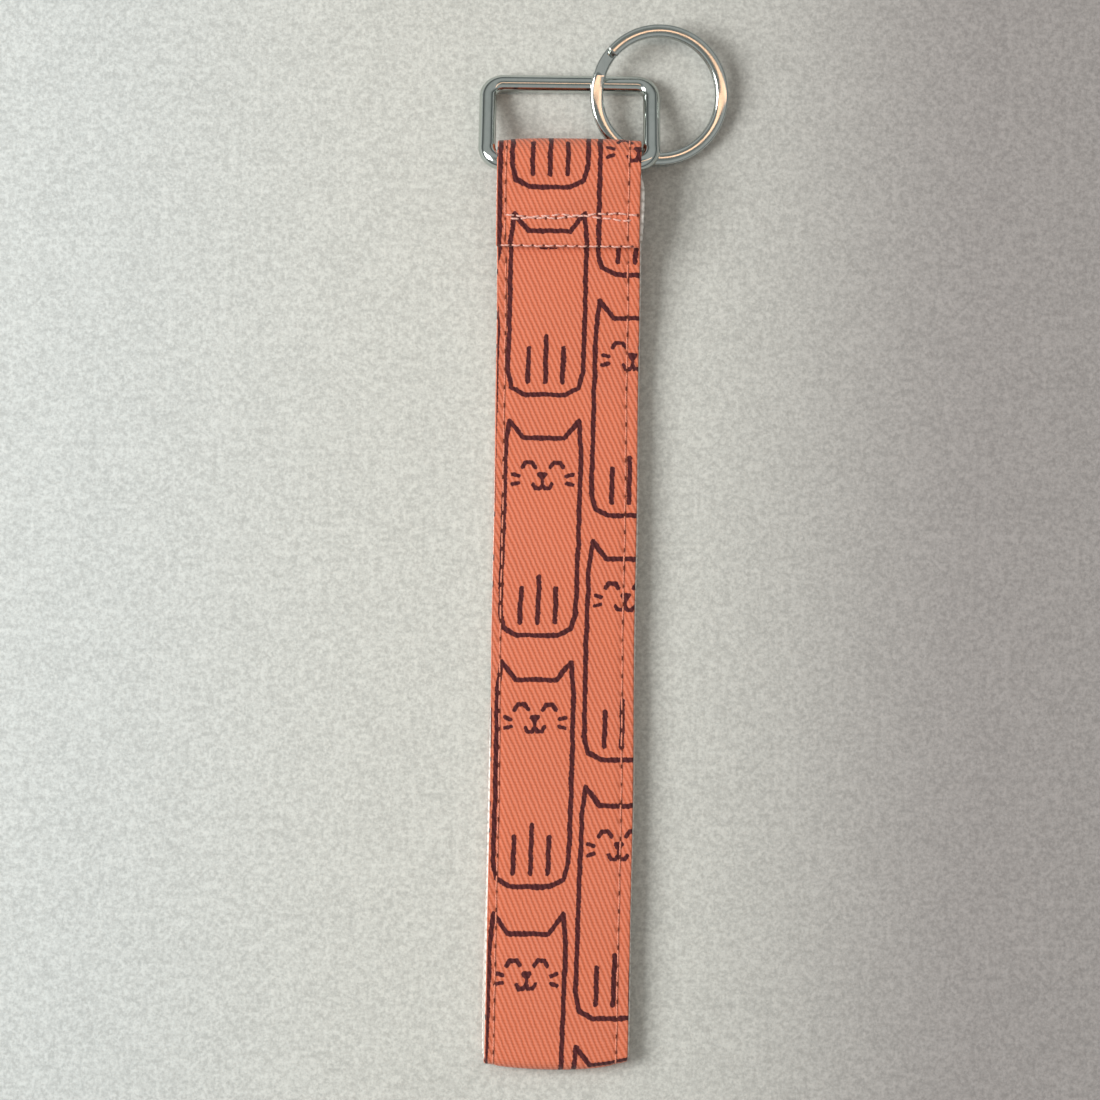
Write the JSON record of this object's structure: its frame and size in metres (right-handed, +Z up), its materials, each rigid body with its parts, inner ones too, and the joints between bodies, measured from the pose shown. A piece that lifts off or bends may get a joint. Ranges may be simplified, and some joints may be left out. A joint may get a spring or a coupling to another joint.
{
  "type": "wrist strap keychain",
  "caption": "Flat fabric wrist-strap keychain: a loop of printed cloth on webbing, folded round the bar of a rectangular wire ring, with a split ring linked through it.",
  "frame": {"origin": "middle of the strap, across its width and along its length, on the plane that it rests on", "axes": "+X across the strap, +Y along the strap towards the rings, +Z up out of the strap's printed front"},
  "size_m": [0.0432, 0.1805, 0.0101],
  "materials": {
    "cover_cloth": "coral cotton twill printed with plum line drawings",
    "webbing": "white woven webbing",
    "thread": "peach sewing thread",
    "ring_metal": "polished nickel plate",
    "split_ring_metal": "polished nickel plate"
  },
  "bodies": {
    "strap_back": {"back_cover": "cover_cloth", "back_webbing": "webbing", "head_cover": "cover_cloth", "head_webbing": "webbing", "inner_end": "webbing", "hem_fold": "cover_cloth", "upper_cross_row": "thread", "lower_cross_row": "thread"},
    "strap_front": {"front_cover": "cover_cloth", "front_webbing": "webbing", "front_thread": "thread"},
    "strap_low_front": {"low_front_cover": "cover_cloth", "low_front_webbing": "webbing", "low_front_thread": "thread"},
    "strap_low_back": {"low_back_cover": "cover_cloth", "low_back_webbing": "webbing"},
    "ring": {"rectangular_ring": "ring_metal"},
    "key_ring": {"split_ring": "split_ring_metal"}
  },
  "joints": [
    {"name": "loop_opens", "type": "hinge", "parent": "strap_back", "child": "strap_front", "pos_m": [0, 0.0602, 0.0049], "axis": [-1, 0, 0], "range_deg": [0, 60]},
    {"name": "loop_middle_bends", "type": "hinge", "parent": "strap_front", "child": "strap_low_front", "pos_m": [0, -0.00985, 0.0036], "axis": [1, 0, 0], "range_deg": [0, 60]},
    {"name": "bottom_fold_opens", "type": "hinge", "parent": "strap_low_front", "child": "strap_low_back", "pos_m": [0, -0.0799, 0.0012], "axis": [-1, 0, 0], "range_deg": [0, 60]},
    {"name": "ring_swings", "type": "hinge", "parent": "strap_back", "child": "ring", "pos_m": [0, 0.076, 0.00658], "axis": [1, 0, 0], "range_deg": [0, 110]},
    {"name": "key_ring_swings", "type": "hinge", "parent": "ring", "child": "key_ring", "pos_m": [0.006, 0.08114, 0.00401], "axis": [0.9878, -0.109, 0.111], "range_deg": [0, 36]}
  ],
  "couplings": [
    {"joint": "loop_middle_bends", "follows": "loop_opens", "ratio": 1},
    {"joint": "bottom_fold_opens", "follows": "loop_opens", "ratio": 1},
    {"joint": "key_ring_swings", "follows": "ring_swings", "ratio": 0.3}
  ]
}
